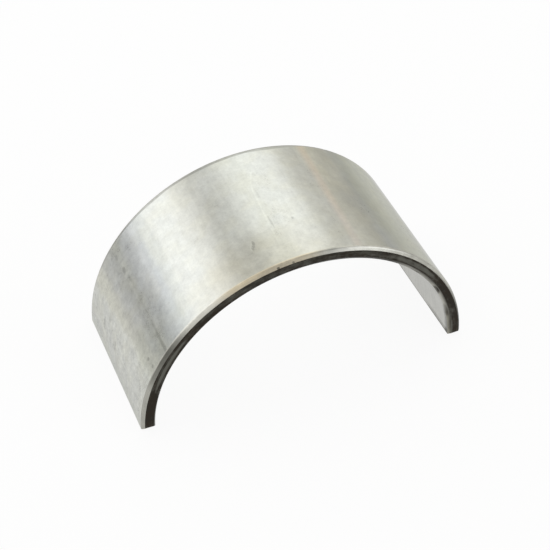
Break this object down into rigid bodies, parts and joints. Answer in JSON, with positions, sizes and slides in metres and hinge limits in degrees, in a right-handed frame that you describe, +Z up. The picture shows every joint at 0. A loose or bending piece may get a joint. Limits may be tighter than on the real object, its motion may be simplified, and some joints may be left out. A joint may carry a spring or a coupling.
{
  "type": "engine bearing shell",
  "caption": "Half-round plain bearing shell of tin-flashed steel-backed strip, with chamfered edges, a relieved bore and flat parting faces, for a shaft journal.",
  "frame": {"origin": "on the surface that the shell stands on, midway between its two parting faces and midway along its width", "axes": "+X across the ends, +Y along the bearing's axis, +Z up to the crown"},
  "size_m": [0.0608, 0.0296, 0.0299],
  "materials": {
    "tin_flashed_steel": "satin tin flash over a steel back, with dark machined side faces"
  },
  "bodies": {
    "root": {"bearing_shell": "tin_flashed_steel"}
  },
  "joints": []
}
